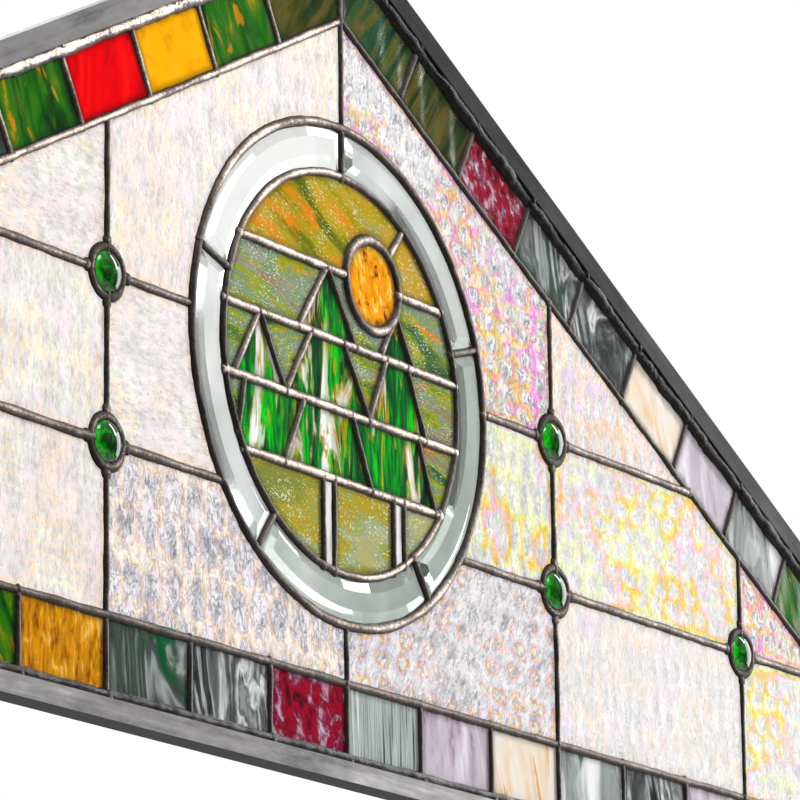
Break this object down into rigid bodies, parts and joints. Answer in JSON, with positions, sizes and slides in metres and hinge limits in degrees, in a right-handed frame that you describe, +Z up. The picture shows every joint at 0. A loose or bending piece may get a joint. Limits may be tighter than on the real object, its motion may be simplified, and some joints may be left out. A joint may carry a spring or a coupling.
{
  "type": "stained glass gable panel",
  "caption": "Low triangular stained glass panel in a metal frame, with a round bevelled medallion, iridescent field, coloured border tiles and glass jewels.",
  "frame": {"origin": "middle of the bottom rail's underside, half way through the frame's depth", "axes": "+X along the bottom rail to the viewer's right, -Y out of the front face, +Z up to the peak"},
  "size_m": [2.1618, 0.018, 0.5731],
  "materials": {
    "zinc_frame": "brushed zinc, dull grey with flux stains",
    "solder": "lumpy solder beads with a dark pewter patina and bright crests",
    "field_glass": "white iridescent glass, hammered and rippled, with a rainbow sheen",
    "bevel_glass": "clear polished bevelled glass",
    "jewel_glass": "deep green domed glass, polished",
    "border_glass": "streaky and hammered art glass in green, red, amber, lilac, peach and grey",
    "sky_glass": "olive and amber wispy glass with fine seeds",
    "sun_glass": "golden amber water glass",
    "pine_glass": "green streaky glass with orange and white streaks",
    "ground_glass": "seedy olive and amber glass",
    "trunk_glass": "pale mirror-like strips"
  },
  "bodies": {
    "root": {"bevel_piece_1": "bevel_glass", "bevel_piece_2": "bevel_glass", "bevel_piece_3": "bevel_glass", "bevel_piece_4": "bevel_glass", "bevel_piece_5": "bevel_glass", "border_glass_bottom": "border_glass", "border_glass_rafters": "border_glass", "bottom_rail": "zinc_frame", "field_pane_left_1_1": "field_glass", "field_pane_left_1_2": "field_glass", "field_pane_left_1_3": "field_glass", "field_pane_left_2_1": "field_glass", "field_pane_left_2_2": "field_glass", "field_pane_left_2_3": "field_glass", "field_pane_left_3_1": "field_glass", "field_pane_left_3_2": "field_glass", "field_pane_left_4_1": "field_glass", "field_pane_right_1_1": "field_glass", "field_pane_right_1_2": "field_glass", "field_pane_right_1_3": "field_glass", "field_pane_right_2_1": "field_glass", "field_pane_right_2_2": "field_glass", "field_pane_right_2_3": "field_glass", "field_pane_right_3_1": "field_glass", "field_pane_right_3_2": "field_glass", "field_pane_right_4_1": "field_glass", "ground_left": "ground_glass", "ground_middle": "ground_glass", "ground_right": "ground_glass", "jewel_left_lower": "jewel_glass", "jewel_left_outer": "jewel_glass", "jewel_left_upper": "jewel_glass", "jewel_right_lower": "jewel_glass", "jewel_right_outer": "jewel_glass", "jewel_right_upper": "jewel_glass", "left_pine_skirt": "pine_glass", "left_pine_top": "pine_glass", "left_rafter_bar": "zinc_frame", "right_rafter_bar": "zinc_frame", "sky_dome": "sky_glass", "sky_dome_right": "sky_glass", "sky_lower_left": "sky_glass", "sky_lower_right": "sky_glass", "sky_middle_left": "sky_glass", "sky_middle_left_notch": "sky_glass", "sky_middle_right": "sky_glass", "sky_middle_right_notch": "sky_glass", "sky_upper_left": "sky_glass", "sky_upper_middle": "sky_glass", "sky_upper_right": "sky_glass", "small_pine_middle": "pine_glass", "small_pine_skirt": "pine_glass", "small_pine_top": "pine_glass", "small_pine_trunk": "trunk_glass", "solder_net": "solder", "sun_disc": "sun_glass", "tall_pine_middle": "pine_glass", "tall_pine_skirt": "pine_glass", "tall_pine_top": "pine_glass", "tall_pine_trunk": "trunk_glass"}
  },
  "joints": []
}
